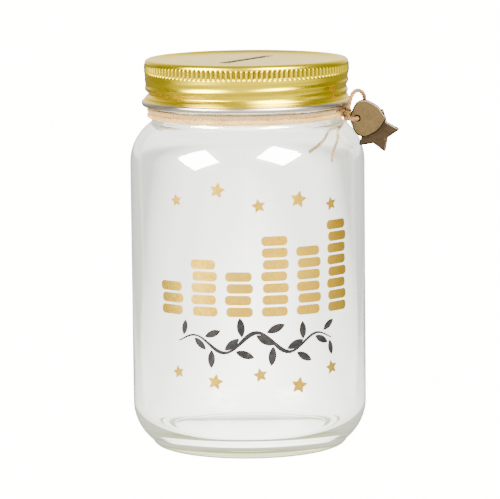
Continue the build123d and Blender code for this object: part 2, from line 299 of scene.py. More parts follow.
def lacquer_material():
    """Tinplate under gold lacquer, with painted shade in the knurls' valleys, and unlacquered tin on the
    rolled curl.
    """
    material, shader = new_material(
        "gold_lacquer", Metallic=1.0, Roughness=0.2, Coat_Weight=0.08, Coat_Roughness=0.1,
        Specular_Tint=(1.0, 0.92, 0.66, 1))
    height = place_along(material, "Z")
    grain = noise_pattern(material, 90.0, 4.0, (1, 1, 6))
    clouds = noise_pattern(material, 28.0, 2.0)
    gold = mixed(material, spread(material, clouds, 0.35, 0.7), (1.0, 0.77, 0.0, 1), (0.97, 0.71, 0.0, 1))
    tin = mixed(material, grain, (0.60, 0.55, 0.45, 1), (0.76, 0.70, 0.57, 1))
    wander = spread(material, clouds, 0.3, 0.7, -0.12 * mm, 0.12 * mm)
    uneven_height = maths(material, "ADD", height, wander)
    across = add_node(material, "ShaderNodeVectorMath", {
        0: object_place(material), 1: (1, 1, 0)}, operation="MULTIPLY").outputs["Vector"]
    radius = add_node(material, "ShaderNodeVectorMath", {0: across}, operation="LENGTH").outputs["Value"]
    # Painted shade: the gold turns dark olive deep in the knurls' valleys
    sunk = spread(material, radius, skirt_radius - 0.28 * mm, skirt_radius + 0.12 * mm, 1.0, 0.0)
    above_foot = spread(material, height, knurl_bottom + 0.3 * mm, knurl_bottom + 0.9 * mm)
    below_head = spread(material, height, knurl_top, knurl_top + 0.3 * mm, 1.0, 0.0)
    valley_shade = product(material, product(material, sunk, above_foot), below_head)
    gold = mixed(material, valley_shade, gold, (0.34, 0.26, 0.0, 1))
    lacquered = spread(material, uneven_height, curl_z + 0.85 * mm, curl_z + 1.1 * mm)
    link(material, mixed(material, lacquered, tin, gold), shader, "Base Color")
    link(material, spread(material, grain, 0.3, 0.75, 0.18, 0.3), shader, "Roughness")
    bump(material, shader, noise_pattern(material, 260.0, 5.0), 0.12, 0.06 * mm)
    return material


def inside_material():
    """The lid's inside and the rounded edge of its slot, under a dull brown inner lacquer, kept dark partly
    as painted shade in the slot.
    """
    material, shader = new_material("lid_lining_and_shade", Metallic=0.7, Roughness=0.5)
    cloud = noise_pattern(material, 120.0, 3.0)
    # Painted shade in part: this dark brown also stands for the shadow inside the slot
    lining_and_shade = mixed(material, cloud, (0.16, 0.14, 0.09, 1), (0.24, 0.21, 0.14, 1))
    link(material, lining_and_shade, shader, "Base Color")
    return material


def compound_material():
    """The soft off-white sealing compound."""
    material, shader = new_material("seal_compound", Roughness=0.45, Specular_IOR_Level=0.4)
    pale = mixed(material, noise_pattern(material, 160.0), (0.62, 0.60, 0.55, 1), (0.72, 0.70, 0.65, 1))
    link(material, pale, shader, "Base Color")
    bump(material, shader, noise_pattern(material, 700.0), 0.2, 0.1 * mm)
    return material


def jute_material(name, dark, pale, shade_from=None):
    """Jute fibres from a dark to a pale colour, darker in patches, and with painted shadow above a height
    if given.
    """
    material, shader = new_material(name, Roughness=0.85)
    fibre = noise_pattern(material, 2600.0, 4.0)
    patch = noise_pattern(material, 170.0, 3.0)
    fine = mixed(material, spread(material, fibre, 0.3, 0.72), dark, pale)
    colour = mixed(material, spread(material, patch, 0.42, 0.72, 0.0, 0.55), fine, dark)
    if shade_from:
        # Painted shadow: above the height the colour turns dark brown
        shade = spread(material, place_along(material, "Z"), shade_from, shade_from + 0.7 * mm, 0.0, 0.75)
        colour = mixed(material, shade, colour, (0.34, 0.22, 0.11, 1))
    link(material, colour, shader, "Base Color")
    bump(material, shader, fibre, 0.5, 0.12 * mm)
    return material


def bronze_material(name, middle_y, polished, patina, dark):
    """Antique bronze: patchy brown patina, worn bright along the bevels that face up and right as a painted
    highlight, and near black round the edge as painted shade.
    """
    material, shader = new_material(name, IOR=1.0, Specular_Tint=(0.4, 0.32, 0.22, 1))
    normal = add_node(material, "ShaderNodeTexCoord").outputs["Normal"]
    from_middle = maths(material, "SUBTRACT", place_along(material, "Y"), middle_y)
    rise = maths(material, "ABSOLUTE", from_middle)
    face = charm_thickness / 2
    upward = add_node(material, "ShaderNodeVectorMath", {
        0: normal, 1: (0.7, 0, 0.7)}, operation="DOT_PRODUCT").outputs["Value"]
    patches = noise_pattern(material, 300.0, 5.0, roughness=0.65)
    specks = noise_pattern(material, 1500.0, 3.0)
    body = mixed(material, spread(material, patches, 0.36, 0.66), patina, polished)
    spotted = mixed(material, spread(material, specks, 0.62, 0.75, 0.0, 0.6), body, dark)
    # Painted highlight: a pale colour on the bevels facing up and right, standing also for wear there
    bevel_highlight = product(material, spread(material, rise, face - 0.01 * mm, face - 0.002 * mm, 1.0, 0.0),
                    spread(material, upward, 0.02, 0.12))
    rubbed_and_highlit = mixed(material, bevel_highlight, spotted, (0.62, 0.50, 0.33, 1))
    # Painted shade: 0 on the plate's side, which is near black and not metallic, 1 on the faces
    edge_shade_mask = spread(material, rise, face - 0.03 * mm, face - 0.018 * mm)
    link(material, mixed(material, edge_shade_mask, (0.010, 0.007, 0.005, 1), rubbed_and_highlit), shader, "Base Color")
    link(material, edge_shade_mask, shader, "Metallic")
    link(material, spread(material, patches, 0.3, 0.7, 0.52, 0.34), shader, "Roughness")
    bump(material, shader, patches, 0.35, 0.25 * mm)
    return material


def foil_material():
    """Hot-stamped gold foil with faint creases in its shine."""
    material, shader = new_material("gold_foil", Metallic=1.0)
    clouds = noise_pattern(material, 60.0, 3.0)
    grain = noise_pattern(material, 900.0, 3.0)
    gold = mixed(material, spread(material, clouds, 0.3, 0.7), (0.98, 0.56, 0.03, 1), (1.0, 0.64, 0.07, 1))
    link(material, gold, shader, "Base Color")
    link(material, spread(material, grain, 0.3, 0.7, 0.24, 0.38), shader, "Roughness")
    bump(material, shader, grain, 0.25, 0.03 * mm)
    return material


def ink_material():
    """Screen-printed black ink, thinner in places."""
    material, shader = new_material("black_ink", Roughness=0.45, Specular_IOR_Level=0.2)
    cover = noise_pattern(material, 420.0, 4.0)
    black = mixed(material, spread(material, cover, 0.4, 0.8),
                  (0.012, 0.011, 0.010, 1), (0.035, 0.031, 0.028, 1))
    link(material, black, shader, "Base Color")
    bump(material, shader, cover, 0.3, 0.03 * mm)
    return material


materials = {
    "clear_glass": glass_material(),
    "gold_lacquer": lacquer_material(),
    "lid_lining_and_shade": inside_material(),
    "seal_compound": compound_material(),
    "jute_twine": jute_material("jute_twine", (0.42, 0.21, 0.06, 1), (1.0, 0.66, 0.20, 1)),
    "jute_wraps": jute_material("jute_wraps", (0.42, 0.21, 0.06, 1), (1.0, 0.66, 0.20, 1), wrap_shade_z),
    # The hanging loop is the same twine, painted darker as shade
    "jute_loop_painted_shade": jute_material("jute_loop_painted_shade", (0.16, 0.07, 0.02, 1), (0.44, 0.235, 0.08, 1)),
    "antique_bronze": bronze_material("antique_bronze", heart_y, (0.205, 0.138, 0.058, 1),
                                      (0.135, 0.088, 0.037, 1), (0.04, 0.022, 0.012, 1)),
    "dark_bronze": bronze_material("dark_bronze", star_y, (0.088, 0.060, 0.032, 1),
                                   (0.056, 0.037, 0.020, 1), (0.02, 0.011, 0.007, 1)),
    "gold_foil": foil_material(),
    "black_ink": ink_material(),
}


# ---------------------------------------------------------------- mesh building

def mesh_piece(name, vertices, faces, material, sharp_angle=40.0):
    """A smooth-shaded mesh object whose edges stay sharp above an angle."""
    mesh = bpy.data.meshes.new(name)
    mesh.from_pydata([tuple(vertex) for vertex in vertices], [], faces)
    mesh.validate()
    mesh.shade_smooth()
    mesh.set_sharp_from_angle(angle=sharp_angle * degree)
    piece = bpy.data.objects.new(name, mesh)
    bpy.context.scene.collection.objects.link(piece)
    mesh.materials.append(materials[material])
    return piece


def ring_faces(rows, columns, closed_rows=False, first=0):
    """Quads between rows of points that each close on themselves."""
    faces = []
    for row in range(rows if closed_rows else rows - 1):
        below = first + row * columns
        above = first + (row + 1) % rows * columns
        for column in range(columns):
            after = (column + 1) % columns
            faces.append((below + column, below + after, above + after, above + column))
    return faces


def arc_points(centre, radius, start, end, count):
    """Points of (radius, height) on an arc, from one angle in degrees to another."""
    angles = np.linspace(start, end, count) * degree
    return [(centre[0] + radius * math.cos(a), centre[1] + radius * math.sin(a)) for a in angles]


def line_points(start, end, count):
    """Points of (radius, height) on a line, without its two ends."""
    shares = np.linspace(0, 1, count + 2)[1:-1]
    return [(start[0] + (end[0] - start[0]) * s, start[1] + (end[1] - start[1]) * s) for s in shares]


def helix_offset(angles, heights, at_left, start, turns, half_width, flank):
    """How strongly a helical thread shows at each angle and height, from 0 to 1."""
    strength = np.zeros(np.broadcast(angles, heights).shape)
    end = start + 360 * turns
    for lap in (0, 360):
        turned = angles + lap
        centre = at_left + pitch * (turned - 180) / 360
        across = smooth_step((half_width - abs(heights - centre)) / flank)
        ends = smooth_step((turned - start) / thread_fade) * smooth_step((end - turned) / thread_fade)
        strength = np.maximum(strength, across * ends)
    return strength


# ---------------------------------------------------------------- glass jar

def shoulder_blend(arc, line_radius):
    """Height of the small fillet's centre and the angle where the shoulder arc meets it."""
    across = line_radius + neck_fillet - (body_radius - shoulder_arc)
    up = math.sqrt((arc + neck_fillet) ** 2 - across**2)
    return shoulder_z + up, math.atan2(up, across) / degree


def jar_profile():
    """The jar's section as (radius, height): up the outside, over the lip, and down to the jar's floor."""
    centre = (body_radius - shoulder_arc, shoulder_z)
    fillet_z, meet = shoulder_blend(shoulder_arc, neck_radius)
    inner_fillet_z, inner_meet = shoulder_blend(shoulder_arc - wall, mouth_radius)
    heel_centre = (body_radius - heel_arc, heel_z)
    kink = -math.acos((base_edge_radius - heel_centre[0]) / heel_arc) / degree
    lip_z = glass_top - lip_round
    inside = body_radius - wall
    inner_heel = (inside - inner_heel_arc, heel_z)

    outside = [(radius * mm, z * mm) for radius, z in under_base]
    outside += arc_points(heel_centre, heel_arc, kink, 0, 18)
    outside += line_points((body_radius, heel_z), (body_radius, shoulder_z), 16)
    outside += arc_points(centre, shoulder_arc, 0, meet, 20)
    outside += arc_points((neck_radius + neck_fillet, fillet_z), neck_fillet, 180 + meet, 180, 7)[1:]
    outside += line_points((neck_radius, fillet_z), (neck_radius, lip_z), 64)
    lip = arc_points((neck_radius - lip_round, lip_z), lip_round, 0, 90, 7)
    lip += arc_points((mouth_radius + lip_round, lip_z), lip_round, 90, 180, 7)
    inner = line_points((mouth_radius, lip_z), (mouth_radius, inner_fillet_z), 12)
    inner += arc_points((mouth_radius + neck_fillet, inner_fillet_z), neck_fillet, 180, 180 + inner_meet, 7)
    inner += arc_points(centre, shoulder_arc - wall, inner_meet, 0, 18)[1:]
    inner += line_points((inside, shoulder_z), (inside, heel_z), 30)
    inner += arc_points(inner_heel, inner_heel_arc, 0, -86, 16)
    inner += [(radius * mm, z * mm) for radius, z in jar_floor]
    return outside, lip, inner


def jar_glass():
    """The blown jar: its outside is true, and the inside of its wall waves a little."""
    outside, lip, inner = jar_profile()
    profile = np.array(outside + lip + inner)
    angles = np.arange(glass_segments) * 360 / glass_segments
    radius = np.repeat(profile[:, :1], glass_segments, axis=1)
    height = np.repeat(profile[:, 1:], glass_segments, axis=1)

    threaded = np.zeros(len(profile), bool)
    threaded[:len(outside)] = profile[:len(outside), 1] > threaded_above
    ridge = helix_offset(angles[None, :], height, thread_z, thread_from, thread_turns,
                         thread_half_width, thread_flank)
    radius += ridge * thread_reach * threaded[:, None]

    within = np.arange(len(profile)) >= len(outside) + len(lip)
    along = smooth_step((height - waves_from) / waves_fade_in)
    along *= smooth_step((waves_to - height) / waves_fade_out)
    wave = np.zeros(height.shape)
    for size, waves, start, climb in wall_waves:
        wave += size * np.sin((waves * angles[None, :] + start) * degree + height * climb)
    radius += wave * mm * along * within[:, None]

    x = radius * np.cos(angles * degree)
    y = radius * np.sin(angles * degree)
    vertices = np.stack([x, y, height], axis=2).reshape(-1, 3).tolist()
    faces = ring_faces(len(profile), glass_segments)
    under, floor = len(vertices), len(vertices) + 1
    vertices += [(0, 0, under_middle_z), (0, 0, floor_middle_z)]
    last = (len(profile) - 1) * glass_segments
    for column in range(glass_segments):
        after = (column + 1) % glass_segments
        faces.append((under, after, column))
        faces.append((floor, last + column, last + after))
    piece = mesh_piece("jar_glass", vertices, faces, "clear_glass", 50)
    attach(piece, "jar")
    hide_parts("glass_jar")
    return piece


# ---------------------------------------------------------------- lid

def slot_edge(angles, offset):
    """Distance from the axis to the coin slot's outline, grown by an offset, at each angle."""
    turned = (angles - slot_angle) * degree
    half = slot_width / 2 + offset
    straight = slot_length / 2 - slot_width / 2
    sine, cosine = np.abs(np.sin(turned)), np.abs(np.cos(turned))
    side = half / np.maximum(sine, 1e-9)
    round_end = straight * cosine + np.sqrt(np.maximum(half**2 - (straight * sine) ** 2, 0))
    return np.where(side * cosine <= straight, side, round_end)


def side_radius(angles, z):
    """The skirt's outer radius at each angle at one height, with the knurling and the pressed groove."""
    radius = np.full(len(angles), skirt_radius)
    radius -= smooth_step((waist_from_z - z) / (waist_from_z - waist_z)) * (skirt_radius - waist_radius)
    radius += smooth_step((waist_z - z) / (waist_z - flare_z)) * (flare_radius - waist_radius)
    band = smooth_step((z - knurl_bottom) / (2 * knurl_edge)) * smooth_step((knurl_top - z) / knurl_edge)
    rib = 0.5 - 0.5 * np.cos(angles * degree * knurl_ribs)
    radius += band * (knurl_rise - knurl_cut * (1 - rib) ** valley_power)
    level = np.full(len(angles), z)
    groove = helix_offset(angles, level, groove_z, groove_from, groove_turns,
                          groove_half_width, groove_flank)
    radius -= groove * groove_depth * smooth_step((z - groove_low_z) / groove_fade)
    dip = helix_offset(angles, level, dip_z, groove_from, groove_turns, dip_half_width, dip_flank)
    return radius - dip * dip_depth


def lid_rows():
    """Rows of points round the lid's sheet: out over the top, down the skirt and curl, and back inside."""
    angles = np.arange(knurl_ribs * points_per_rib) * 360 / (knurl_ribs * points_per_rib)
    panel_z = lid_top - panel_drop
    rim_z = lid_top
    rows = []

    def add(radius, z):
        """One row of points; its radius is one number, or one for each angle."""
        rows.append((radius * np.ones(len(angles)), z * np.ones(len(angles))))

    add(slot_edge(angles, 0), panel_z - sheet)
    for turn in np.linspace(0, 90, slot_edge_rows) * degree:
        offset = slot_edge_round * (1 - math.cos(turn))
        add(slot_edge(angles, offset), panel_z - 0.5 * slot_edge_round * (1 - math.sin(turn)))
    inner = slot_edge(angles, slot_margin)
    add(inner, panel_z)
    for share in np.linspace(0.08, 1, 14):
        sink = panel_sag * math.sin(math.pi * share)
        add(inner + (panel_radius - 0.5 * mm - inner) * share, panel_z - sink)
    add(panel_radius, panel_z + 0.03 * mm)
    add(panel_radius + 0.35 * mm, panel_z + 0.16 * mm)
    add(panel_radius + 0.75 * mm, rim_z - 0.22 * mm)
    add(panel_radius + 1.1 * mm, rim_z - 0.05 * mm)
    add(panel_radius + 1.5 * mm, rim_z)
    corner = (skirt_radius - rim_corner, rim_z - rim_corner)
    for radius, z in arc_points(corner, rim_corner, 90, 12, 9):
        add(radius, z)
    side_heights = np.arange(knurl_top, side_low_z, -side_step)
    for z in side_heights:
        add(side_radius(angles, z), z)
    for radius, z in arc_points((curl_centre, curl_z), curl_radius, 76, -185, 24):
        add(radius, z)
    outer_rows = len(rows) - 6
    for z in side_heights[::-2]:
        add(side_radius(angles, z) - sheet, z)
    for radius, z in arc_points(corner, rim_corner - sheet, 12, 90, 6):
        add(radius, z)
    add(panel_radius + 1.3 * mm, rim_z - sheet)
    add(panel_radius + 0.2 * mm, panel_z - sheet + 0.05 * mm)
    add(panel_radius - 0.6 * mm, panel_z - sheet)
    for share in np.linspace(0.9, 0.1, 8):
        sink = panel_sag * math.sin(math.pi * share)
        add(inner + (panel_radius - inner) * share, panel_z - sheet - sink)
    return angles, rows, outer_rows


def gold_lid():
    """The pressed lid as one closed sheet with its coin slot."""
    angles, rows, outer_rows = lid_rows()
    vertices = []
    for radius, z in rows:
        vertices += zip(radius * np.cos(angles * degree), radius * np.sin(angles * degree), z)
    faces = [face[::-1] for face in ring_faces(len(rows), len(angles), closed_rows=True)]
    piece = mesh_piece("gold_lid", vertices, faces, "gold_lacquer", 60)
    piece.data.materials.append(materials["lid_lining_and_shade"])
    # The slot's rounded edge and the sheet's inside take the dark inner lacquer, partly painted shade
    lining_and_shade_rows = set(range(outer_rows, len(rows))) | set(range(slot_edge_rows))
    for polygon in piece.data.polygons:
        if polygon.index // len(angles) in lining_and_shade_rows:
            polygon.material_index = 1
    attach(piece, "lid")
    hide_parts("lid_shell")
    return piece


# ---------------------------------------------------------------- twine

# The loop's way round in millimetres; the tails' as angle, distance from the axis and height
loop_points = [
    (34.8, -9.4, 119.1), (34.7, -12.2, 118.8), (35.2, -14.8, 120.0), (35.9, -15.0, 122.6),
    (36.5, -14.8, 125.2), (37.9, -14.1, 127.0), (39.7, -12.5, 126.9), (41.1, -10.4, 125.4),
    (41.5, -8.4, 123.1), (41.3, -7.2, 120.8), (41.0, -6.5, 119.2), (40.3, -6.4, 117.9),
    (39.3, -7.1, 117.2), (38.7, -8.4, 117.05), (38.58, -10.1, 117.12), (38.65, -12.0, 117.05),
    (38.6, -14.2, 117.1), (37.6, -15.6, 117.15), (36.0, -15.6, 117.2), (34.9, -13.9, 117.3),
    (34.6, -11.8, 117.35), (34.8, -9.6, 117.4),
]
long_tail_points = [around(*place) for place in [
    (-8, 36.2, 119.1), (2, 36.3, 119.3), (11, 36.35, 119.1), (20, 36.4, 118.2), (28, 36.6, 116.2),
    (35, 38.0, 113.2), (42.5, 40.9, 109.2), (50, 42.4, 105.2), (56, 43.2, 102.4)]]
short_tail_points = [around(*place) for place in [
    (-8, 36.2, 117.3), (2, 36.3, 117.2), (10, 36.35, 116.6), (17, 36.6, 115.1), (23, 38.4, 112.5),
    (29, 40.7, 109.4), (35, 42.2, 105.6), (38, 42.7, 101.9), (38.3, 42.75, 98.6)]]


def wrap_points():
    """Two turns round the neck side by side, crossing over from the lower to the upper at the knot."""
    points = []
    for step in range(2 * wrap_steps + 1):
        lift = min(max((step - wrap_steps + 0.5) / 2, 0), 1)
        angle = wrap_start + step * wrap_step_angle
        points.append(around(angle, wrap_radius, wrap_low_z + lift * wrap_spacing))
    return points


def smooth_line(points, scale=mm):
    """The points along a smooth NURBS line with the given control points."""
    curve = bpy.data.curves.new("route", "CURVE")
    curve.dimensions = "3D"
    curve.resolution_u = 16
    spline = curve.splines.new("NURBS")
    spline.points.add(len(points) - 1)
    for place, point in zip(spline.points, points):
        place.co = (point[0] * scale, point[1] * scale, point[2] * scale, 1)
    spline.order_u = 3
    spline.use_endpoint_u = True
    route = bpy.data.objects.new("route", curve)
    bpy.context.scene.collection.objects.link(route)
    bpy.context.view_layer.update()
    mesh = bpy.data.meshes.new_from_object(route)
    line = [vertex.co.copy() for vertex in mesh.vertices]
    bpy.data.objects.remove(route)
    bpy.data.meshes.remove(mesh)
    return line


def even_line(line, step):
    """The line's points again, evenly spaced, as an array."""
    line = np.array([tuple(point) for point in line])
    along = np.concatenate([[0], np.cumsum(np.linalg.norm(np.diff(line, axis=0), axis=1))])
    places = np.linspace(0, along[-1], max(int(along[-1] / step), 4) + 1)
    return np.stack([np.interp(places, along, line[:, axis]) for axis in range(3)], axis=1), places


def carried_frames(line):
    """Two directions across the line at each point, carried along it without twist."""
    tangents = np.gradient(line, axis=0)
    tangents /= np.linalg.norm(tangents, axis=1)[:, None]
    side = np.cross(tangents[0], (0.3, 0.2, 1.0))
    sides = []
    for tangent in tangents:
        side = side - tangent * side.dot(tangent)
        side = side / np.linalg.norm(side)
        sides.append(side)
    sides = np.array(sides)
    return sides, np.cross(tangents, sides)


class Strands:
    """Collects the tubes of twisted plies and loose fibres that make up one mesh."""

    def __init__(self, seed):
        """Start with nothing, and with dice of its own."""
        self.vertices = []
        self.faces = []
        self.dice = random.Random(seed)

    def tube(self, line, radii, sides, ridge=0.0, ridge_turn=0.0):
        """A closed tube along a line, with shallow helical ridges for the fibres in it."""
        across, up = carried_frames(line)
        first = len(self.vertices)
        for place, (point, u, v) in enumerate(zip(line, across, up)):
            for corner in range(sides):
                angle = 2 * math.pi * corner / sides
                swell = 1 + ridge * math.cos(3 * angle + ridge_turn * place)
                swell += 0.6 * ridge * noise.noise(Vector(point) * 1900 + Vector((corner, 0, 0)))
                reach = radii[place] * swell
                self.vertices.append(tuple(point + (u * math.cos(angle) + v * math.sin(angle)) * reach))
        self.faces += [face[::-1] for face in ring_faces(len(line), sides, first=first)]
        self.faces.append(tuple(range(first, first + sides)))
        last = first + (len(line) - 1) * sides
        self.faces.append(tuple(range(last + sides - 1, last - 1, -1)))

    def plies(self, line, offset=ply_offset, radius=ply_radius, lay=ply_lay):
        """Three plies laid round the line, each an uneven bundle of fibres."""
        line, places = even_line(line, ply_step)
        across, up = carried_frames(line)
        for ply in range(3):
            turn = 2 * math.pi * (places / lay + ply / 3)
            sideways, upward = np.cos(turn) * offset, np.sin(turn) * offset
            centre = line + across * sideways[:, None] + up * upward[:, None]
            phase = self.dice.uniform(0, 100)
            radii = [radius * (1 + ply_unevenness * noise.noise(Vector((place * 260, phase, 0))))
                     for place in places]
            self.tube(centre, radii, ply_sides, ply_ridge, ply_ridge_turn)

    def fibre(self, start, direction, length, curl):
        """One loose hair that starts in the twine, bends away and gets thinner."""
        line = [Vector(start)]
        heading = Vector(direction).normalized()
        bend = Vector([self.dice.uniform(-1, 1) for axis in range(3)])
        steps = len(hair_taper) - 1
        for step in range(steps):
            heading = (heading + bend * curl / steps).normalized()
            line.append(line[-1] + heading * length / steps)
        line = np.array([tuple(point) for point in line])
        self.tube(line, [hair_thickness * share for share in hair_taper], 3)

    def fuzz(self, line, per_mm, longest=1.5 * mm, lean=0.75):
        """Loose hairs all along the line, leaning with it and never far from it."""
        line, places = even_line(line, 0.5 * mm)
        across, up = carried_frames(line)
        tangents = np.gradient(line, axis=0)
        tangents /= np.linalg.norm(tangents, axis=1)[:, None]
        for hair in range(int(places[-1] / mm * per_mm)):
            place = self.dice.randrange(len(line))
            angle = self.dice.uniform(0, 2 * math.pi)
            out = across[place] * math.cos(angle) + up[place] * math.sin(angle)
            forward = tangents[place] * self.dice.choice((-1, 1)) * self.dice.uniform(0.3, 1.6) * lean
            start = line[place] + out * hair_root
            self.fibre(start, out * self.dice.uniform(0.25, 1.0) + forward,
                       self.dice.uniform(0.35, 1.0) * longest, 0.9)

    def frayed_end(self, line, hairs, length):
        """The tips of the fibres where the twine is cut."""
        tip, before = Vector(line[-1]), Vector(line[-4])
        heading = (tip - before).normalized()
        for hair in range(hairs):
            spread_out = Vector([self.dice.gauss(0, 1) for axis in range(3)])
            start = tip - heading * 0.3 * mm + spread_out * 0.22 * mm
            self.fibre(start, heading + spread_out * 0.22, self.dice.uniform(0.4, 1.0) * length, 0.5)

    def piece(self, name):
        """All the tubes so far as one piece that stays with the jar."""
        made = mesh_piece(name, self.vertices, self.faces, "jute_twine", 80)
        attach(made, "jar")
        return made


def neck_wraps():
    """The two turns that hold everything to the neck."""
    line = smooth_line(wrap_points(), 1)
    strands = Strands(11)
    strands.plies(line, ply_offset * wrap_fullness, ply_radius * wrap_fullness)
    strands.fuzz(line, 0.9, 1.1 * mm)
    piece = strands.piece("neck_wraps")
    piece.data.materials[0] = materials["jute_wraps"]
    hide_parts("neck_twine")


def wound_knot(name, node, ends, turns, mean_radius, seed, hairs, thin=0.86):
    """A tied lump of twine: a few crossed turns about the line between its ends."""
    start, end = Vector(ends[0]), Vector(ends[1])
    axis = end - start
    u = axis.cross(Vector((0, 0, 1))).normalized()
    v = axis.normalized().cross(u)
    line = []
    count = int(turns * 18)
    for step in range(count + 1):
        share = step / count
        turn = 2 * math.pi * turns * share
        along = share + knot_crossing * math.sin(2 * turn)
        reach = mean_radius * (1 + knot_unevenness * math.sin(turn * 1.5 + 1))
        line.append(start + axis * along + (u * math.cos(turn) + v * math.sin(turn)) * reach)
    strands = Strands(seed)
    strands.plies(line, ply_offset * thin, ply_radius * thin)
    strands.fuzz(line, hairs, 1.2 * mm)
    core = [start - axis * 0.2, start + axis * 0.5, end + axis * 0.2]
    strands.plies(even_line(core, 0.3 * mm)[0], ply_offset * knot_core, ply_radius * knot_core)
    piece = strands.piece(name)
    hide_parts(node)
    return piece


def free_twine(name, node, points, scale, seed, hairs, frayed=0):
    """One free length of twine."""
    line = smooth_line(points, scale)
    strands = Strands(seed)
    strands.plies(line)
    strands.fuzz(line, hairs)
    if frayed:
        strands.frayed_end(line, frayed, 1.6 * mm)
    piece = strands.piece(name)
    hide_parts(node)
    return piece


# ---------------------------------------------------------------- charms

def hull_outline(circles, count=64):
    """The outline round a set of (x, y, radius) circles, as points in order."""
    points = []
    for x, y, radius in circles:
        for step in range(count):
            turn = 2 * math.pi * step / count
            points.append((x + radius * math.cos(turn), y + radius * math.sin(turn)))
    points.sort()

    def chain(ordered):
        """The points along one side of the outline, always turning the same way."""
        kept = []
        for point in ordered:
            while len(kept) > 1 and ((kept[-1][0] - kept[-2][0]) * (point[1] - kept[-2][1])
                                     - (kept[-1][1] - kept[-2][1]) * (point[0] - kept[-2][0])) <= 0:
                kept.pop()
            kept.append(point)
        return kept[:-1]

    return chain(points) + chain(points[::-1])


def heart_outline():
    """A broad heart on its side with its tip away from the jar, in millimetres from the hole."""
    left, lobe, half_width, belly, belly_x, tip, tip_round = -1.45, 3.95, 6.6, 5.85, 3.4, 10.3, 0.5
    return hull_outline([(left + lobe, lobe - half_width, lobe), (left + lobe, half_width - lobe, lobe),
                         (belly_x, 0, belly), (tip - tip_round, 0, tip_round)])


def rounded_corner(before, corner, after, radius, count=6):
    """An arc that rounds off a corner between two straight sides."""
    to_before = (Vector(before) - Vector(corner)).normalized()
    to_after = (Vector(after) - Vector(corner)).normalized()
    half = to_before.angle(to_after) / 2
    reach = radius / math.tan(half)
    start, end = Vector(corner) + to_before * reach, Vector(corner) + to_after * reach
    points = []
    for step in range(count + 1):
        share = step / count
        straight = start.lerp(Vector(corner), share)
        points.append(tuple(straight.lerp(Vector(corner).lerp(end, share), share)))
    return points


def star_outline():
    """A fat star with rounded tips, and an eyelet for one of them, in millimetres from the hole."""
    tip_radius, waist_ratio, reach, turned, eyelet = 8.4, 0.56, 8.3, -33.0, 1.75
    corners = []
    for step in range(10):
        radius = tip_radius * (1 if step % 2 == 0 else waist_ratio)
        angle = (180 + 36 * step) * degree
        corners.append((reach + radius * math.cos(angle), radius * math.sin(angle)))
    points = []
    for step in range(1, 10):
        corner, before, after = corners[step], corners[step - 1], corners[(step + 1) % 10]
        points += rounded_corner(before, corner, after, 0.7) if step % 2 == 0 else [corner]
    for step in range(17):
        angle = (62 + 236 * step / 16) * degree
        points.append((eyelet * math.cos(angle), eyelet * math.sin(angle)))
    cosine, sine = math.cos(turned * degree), math.sin(turned * degree)
    return [(x * cosine - y * sine, x * sine + y * cosine) for x, y in points]


def plate_charm(name, node, body, outline, y, material):
    """A flat charm with rounded bevels and its hole, standing in the XZ plane."""
    curve = bpy.data.curves.new(name, "CURVE")
    curve.dimensions = "2D"
    curve.fill_mode = "BOTH"
    curve.extrude = charm_thickness / 2 - charm_bevel
    curve.bevel_depth = charm_bevel
    curve.bevel_resolution = 5
    curve.offset = -charm_bevel
    turns = [2 * math.pi * step / hole_sides for step in range(hole_sides)]
    hole = [(hole_radius / mm * math.cos(turn), hole_radius / mm * math.sin(turn)) for turn in turns]
    for points in (outline, hole[::-1]):
        spline = curve.splines.new("POLY")
        spline.points.add(len(points) - 1)
        for place, point in zip(spline.points, points):
            place.co = (point[0] * mm, point[1] * mm, 0, 1)
        spline.use_cyclic_u = True
    source = bpy.data.objects.new(name + "_outline", curve)
    bpy.context.scene.collection.objects.link(source)
    bpy.context.view_layer.update()
    mesh = bpy.data.meshes.new_from_object(source)
    bpy.data.objects.remove(source)
    mesh.transform(Matrix.Translation((hole_x, y, hole_z)) @ Matrix.Rotation(math.pi / 2, 4, "X"))
    mesh.shade_smooth()
    mesh.set_sharp_from_angle(angle=35 * degree)
    mesh.materials.clear()
    mesh.materials.append(materials[material])
    piece = bpy.data.objects.new(name, mesh)
    bpy.context.scene.collection.objects.link(piece)
    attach(piece, body)
    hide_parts(node)
    return piece


# ---------------------------------------------------------------- stage

def floor_light(white, shader):
    """White paper to the eye and for soft light. Seen through the glass and in reflections it glows as
    painted light:
    through the glass it is greyer to the sides and brightest in a patch just behind the jar, and in
    reflections it is bright in front of the jar and dark behind it."""
    rays = add_node(white, "ShaderNodeLightPath")
    away = add_node(white, "ShaderNodeVectorMath", {
        0: object_place(white)}, operation="LENGTH").outputs["Value"]
    aside = maths(white, "ABSOLUTE", place_along(white, "X"))
    sideways = maths(white, "DIVIDE", aside, away)
    horizon = spread(white, sideways, 0.3, 0.95, around_light, around_side_share * around_light)
    nearby = spread(white, aside, 0.07, 0.2, far_glow, far_side_share * far_glow)
    plain = blend(white, spread(white, away, 1.5, 4.0), nearby, horizon)
    # Painted light: a brighter patch on the floor just behind the jar, seen through the glass
    patch = product(white, spread(white, away, 0.1, 0.9, near_glow, 0.0),
                    spread(white, aside, 0.008, 0.045, 1.0, 0.0))
    through = maths(white, "ADD", plain, patch)
    mirrored = spread(white, place_along(white, "Y"), -0.3, 0.1, front_light, side_light * front_light)
    unseen = blend(white, rays.outputs["Is Reflection Ray"], through, mirrored)
    strength = blend(white, rays.outputs["Is Camera Ray"], unseen, paper_light)
    glow = add_node(white, "ShaderNodeEmission", {"Color": (1, 0.99, 0.95, 1), "Strength": strength})
    share = spread(white, rays.outputs["Is Diffuse Ray"], 0, 1, 0.94, 0.0)
    mix = add_node(white, "ShaderNodeMixShader", {
        "Fac": share, 1: shader.outputs["BSDF"], 2: glow.outputs["Emission"]})
    return mix.outputs["Shader"]


